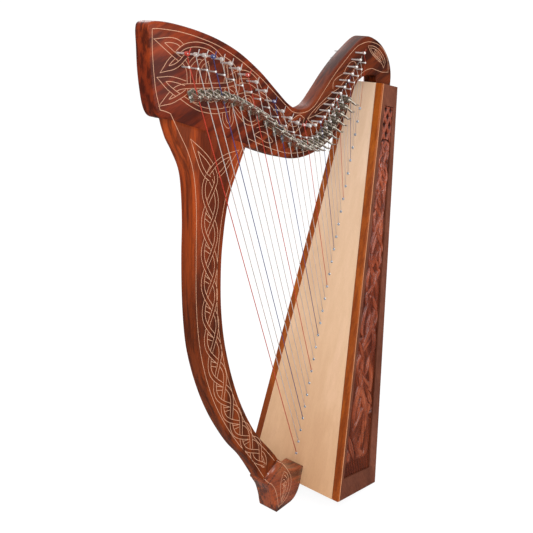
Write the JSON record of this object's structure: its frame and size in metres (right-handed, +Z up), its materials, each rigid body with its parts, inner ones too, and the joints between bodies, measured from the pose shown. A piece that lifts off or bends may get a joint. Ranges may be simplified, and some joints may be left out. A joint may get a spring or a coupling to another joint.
{
  "type": "lever harp",
  "caption": "Floor-standing lever harp with a tapered soundbox, carved sides, curved pillar and neck, coloured strings, turning tuning pins and flip-up sharping levers.",
  "frame": {"origin": "on the floor, under the middle of the harp's bounding box", "axes": "+X from the pillar to the player, -Y the side with the levers, +Z up"},
  "size_m": [0.8203, 0.31, 1.2468],
  "materials": {
    "rosewood": "satin lacquer over straight-grained reddish brown wood",
    "carved_rosewood": "gloss lacquer over carved relief",
    "edge_rosewood": "satin lacquer, lighter orange-brown strip",
    "binding": "satin light wood line",
    "birch": "satin pale birch ply",
    "spruce": "unfinished pale wood",
    "nickel": "nickel plated, worn gloss",
    "steel": "turned steel",
    "string_red": "dyed nylon",
    "string_blue": "dyed nylon",
    "string_white": "clear nylon"
  },
  "bodies": {
    "frame": {"neck": "rosewood", "pillar": "rosewood", "foot_block": "rosewood", "soundboard": "birch", "string_rib": "spruce", "left_side": "rosewood", "right_side": "rosewood", "left_carved_panel": "carved_rosewood", "right_carved_panel": "carved_rosewood", "left_edge_strip": "edge_rosewood", "right_edge_strip": "edge_rosewood", "left_binding": "binding", "right_binding": "binding", "back_panel": "rosewood", "bottom_board": "rosewood", "top_block": "rosewood", "linings": "spruce", "back_braces": "spruce", "dowels": "spruce", "grommets": "nickel", "bridge_pins": "steel", "lever_brackets": "nickel", "lever_screws": "steel", "strings_red": "string_red", "strings_blue": "string_blue", "strings_white": "string_white", "tuning_pins": "steel"},
    "tuning_pin_01": {"tuning_pin_01": "steel"},
    "tuning_pin_04": {"tuning_pin_04": "steel"},
    "tuning_pin_08": {"tuning_pin_08": "steel"},
    "tuning_pin_11": {"tuning_pin_11": "steel"},
    "tuning_pin_15": {"tuning_pin_15": "steel"},
    "tuning_pin_18": {"tuning_pin_18": "steel"},
    "tuning_pin_22": {"tuning_pin_22": "steel"},
    "tuning_pin_25": {"tuning_pin_25": "steel"},
    "tuning_pin_29": {"tuning_pin_29": "steel"},
    "lever_01": {"lever_01": "nickel"},
    "lever_02": {"lever_02": "nickel"},
    "lever_03": {"lever_03": "nickel"},
    "lever_04": {"lever_04": "nickel"},
    "lever_05": {"lever_05": "nickel"},
    "lever_06": {"lever_06": "nickel"},
    "lever_07": {"lever_07": "nickel"},
    "lever_08": {"lever_08": "nickel"},
    "lever_09": {"lever_09": "nickel"},
    "lever_10": {"lever_10": "nickel"},
    "lever_11": {"lever_11": "nickel"},
    "lever_12": {"lever_12": "nickel"},
    "lever_13": {"lever_13": "nickel"},
    "lever_14": {"lever_14": "nickel"},
    "lever_15": {"lever_15": "nickel"},
    "lever_16": {"lever_16": "nickel"},
    "lever_17": {"lever_17": "nickel"},
    "lever_18": {"lever_18": "nickel"},
    "lever_19": {"lever_19": "nickel"},
    "lever_20": {"lever_20": "nickel"},
    "lever_21": {"lever_21": "nickel"},
    "lever_22": {"lever_22": "nickel"},
    "lever_23": {"lever_23": "nickel"},
    "lever_24": {"lever_24": "nickel"}
  },
  "joints": [
    {"name": "tuning_pin_01_turn", "type": "hinge", "parent": "frame", "child": "tuning_pin_01", "pos_m": [-0.34326, 0, 1.19011], "axis": [0, 1, 0], "range_deg": [-180, 180]},
    {"name": "tuning_pin_04_turn", "type": "hinge", "parent": "frame", "child": "tuning_pin_04", "pos_m": [-0.27399, 0, 1.17959], "axis": [0, 1, 0], "range_deg": [-180, 180]},
    {"name": "tuning_pin_08_turn", "type": "hinge", "parent": "frame", "child": "tuning_pin_08", "pos_m": [-0.17461, 0, 1.13595], "axis": [0, 1, 0], "range_deg": [-180, 180]},
    {"name": "tuning_pin_11_turn", "type": "hinge", "parent": "frame", "child": "tuning_pin_11", "pos_m": [-0.09055, 0, 1.07332], "axis": [0, 1, 0], "range_deg": [-180, 180]},
    {"name": "tuning_pin_15_turn", "type": "hinge", "parent": "frame", "child": "tuning_pin_15", "pos_m": [0.01432, 0, 1.00847], "axis": [0, 1, 0], "range_deg": [-180, 180]},
    {"name": "tuning_pin_18_turn", "type": "hinge", "parent": "frame", "child": "tuning_pin_18", "pos_m": [0.07518, 0, 1.00672], "axis": [0, 1, 0], "range_deg": [-180, 180]},
    {"name": "tuning_pin_22_turn", "type": "hinge", "parent": "frame", "child": "tuning_pin_22", "pos_m": [0.13764, 0, 1.05115], "axis": [0, 1, 0], "range_deg": [-180, 180]},
    {"name": "tuning_pin_25_turn", "type": "hinge", "parent": "frame", "child": "tuning_pin_25", "pos_m": [0.1834, 0, 1.08932], "axis": [0, 1, 0], "range_deg": [-180, 180]},
    {"name": "tuning_pin_29_turn", "type": "hinge", "parent": "frame", "child": "tuning_pin_29", "pos_m": [0.24524, 0, 1.14791], "axis": [0, 1, 0], "range_deg": [-180, 180]},
    {"name": "lever_01_flip", "type": "hinge", "parent": "frame", "child": "lever_01", "pos_m": [-0.3075, -0.041, 1.10549], "axis": [-0.9385, 0, -0.3453], "range_deg": [0, 90]},
    {"name": "lever_02_flip", "type": "hinge", "parent": "frame", "child": "lever_02", "pos_m": [-0.28446, -0.041, 1.10272], "axis": [-0.939, 0, -0.3439], "range_deg": [0, 90]},
    {"name": "lever_03_flip", "type": "hinge", "parent": "frame", "child": "lever_03", "pos_m": [-0.26171, -0.041, 1.10044], "axis": [-0.9395, 0, -0.3425], "range_deg": [0, 90]},
    {"name": "lever_04_flip", "type": "hinge", "parent": "frame", "child": "lever_04", "pos_m": [-0.23868, -0.041, 1.09707], "axis": [-0.94, 0, -0.3411], "range_deg": [0, 90]},
    {"name": "lever_05_flip", "type": "hinge", "parent": "frame", "child": "lever_05", "pos_m": [-0.2148, -0.041, 1.09102], "axis": [-0.9405, 0, -0.3397], "range_deg": [0, 90]},
    {"name": "lever_06_flip", "type": "hinge", "parent": "frame", "child": "lever_06", "pos_m": [-0.18992, -0.041, 1.0818], "axis": [-0.941, 0, -0.3383], "range_deg": [0, 90]},
    {"name": "lever_07_flip", "type": "hinge", "parent": "frame", "child": "lever_07", "pos_m": [-0.16435, -0.041, 1.07027], "axis": [-0.9416, 0, -0.3369], "range_deg": [0, 90]},
    {"name": "lever_08_flip", "type": "hinge", "parent": "frame", "child": "lever_08", "pos_m": [-0.13826, -0.041, 1.05688], "axis": [-0.9421, 0, -0.3355], "range_deg": [0, 90]},
    {"name": "lever_09_flip", "type": "hinge", "parent": "frame", "child": "lever_09", "pos_m": [-0.11184, -0.041, 1.04209], "axis": [-0.9426, 0, -0.334], "range_deg": [0, 90]},
    {"name": "lever_10_flip", "type": "hinge", "parent": "frame", "child": "lever_10", "pos_m": [-0.08442, -0.041, 1.02402], "axis": [-0.9431, 0, -0.3326], "range_deg": [0, 90]},
    {"name": "lever_11_flip", "type": "hinge", "parent": "frame", "child": "lever_11", "pos_m": [-0.05615, -0.041, 1.00308], "axis": [-0.9436, 0, -0.3312], "range_deg": [0, 90]},
    {"name": "lever_12_flip", "type": "hinge", "parent": "frame", "child": "lever_12", "pos_m": [-0.02844, -0.041, 0.9832], "axis": [-0.944, 0, -0.3298], "range_deg": [0, 90]},
    {"name": "lever_13_flip", "type": "hinge", "parent": "frame", "child": "lever_13", "pos_m": [-0.00264, -0.041, 0.96831], "axis": [-0.9445, 0, -0.3284], "range_deg": [0, 90]},
    {"name": "lever_14_flip", "type": "hinge", "parent": "frame", "child": "lever_14", "pos_m": [0.02106, -0.041, 0.95904], "axis": [-0.945, 0, -0.327], "range_deg": [0, 90]},
    {"name": "lever_15_flip", "type": "hinge", "parent": "frame", "child": "lever_15", "pos_m": [0.04335, -0.041, 0.95346], "axis": [-0.9455, 0, -0.3256], "range_deg": [0, 90]},
    {"name": "lever_16_flip", "type": "hinge", "parent": "frame", "child": "lever_16", "pos_m": [0.06424, -0.041, 0.9516], "axis": [-0.946, 0, -0.3242], "range_deg": [0, 90]},
    {"name": "lever_17_flip", "type": "hinge", "parent": "frame", "child": "lever_17", "pos_m": [0.08372, -0.041, 0.95352], "axis": [-0.9465, 0, -0.3227], "range_deg": [0, 90]},
    {"name": "lever_18_flip", "type": "hinge", "parent": "frame", "child": "lever_18", "pos_m": [0.10144, -0.041, 0.96034], "axis": [-0.947, 0, -0.3213], "range_deg": [0, 90]},
    {"name": "lever_19_flip", "type": "hinge", "parent": "frame", "child": "lever_19", "pos_m": [0.11756, -0.041, 0.97167], "axis": [-0.9474, 0, -0.3199], "range_deg": [0, 90]},
    {"name": "lever_20_flip", "type": "hinge", "parent": "frame", "child": "lever_20", "pos_m": [0.13283, -0.041, 0.9853], "axis": [-0.9479, 0, -0.3185], "range_deg": [0, 90]},
    {"name": "lever_21_flip", "type": "hinge", "parent": "frame", "child": "lever_21", "pos_m": [0.14801, -0.041, 0.99901], "axis": [-0.9484, 0, -0.3171], "range_deg": [0, 90]},
    {"name": "lever_22_flip", "type": "hinge", "parent": "frame", "child": "lever_22", "pos_m": [0.16314, -0.041, 1.01271], "axis": [-0.9489, 0, -0.3156], "range_deg": [0, 90]},
    {"name": "lever_23_flip", "type": "hinge", "parent": "frame", "child": "lever_23", "pos_m": [0.17788, -0.041, 1.0274], "axis": [-0.9493, 0, -0.3142], "range_deg": [0, 90]},
    {"name": "lever_24_flip", "type": "hinge", "parent": "frame", "child": "lever_24", "pos_m": [0.1924, -0.041, 1.04255], "axis": [-0.9498, 0, -0.3128], "range_deg": [0, 90]}
  ]
}
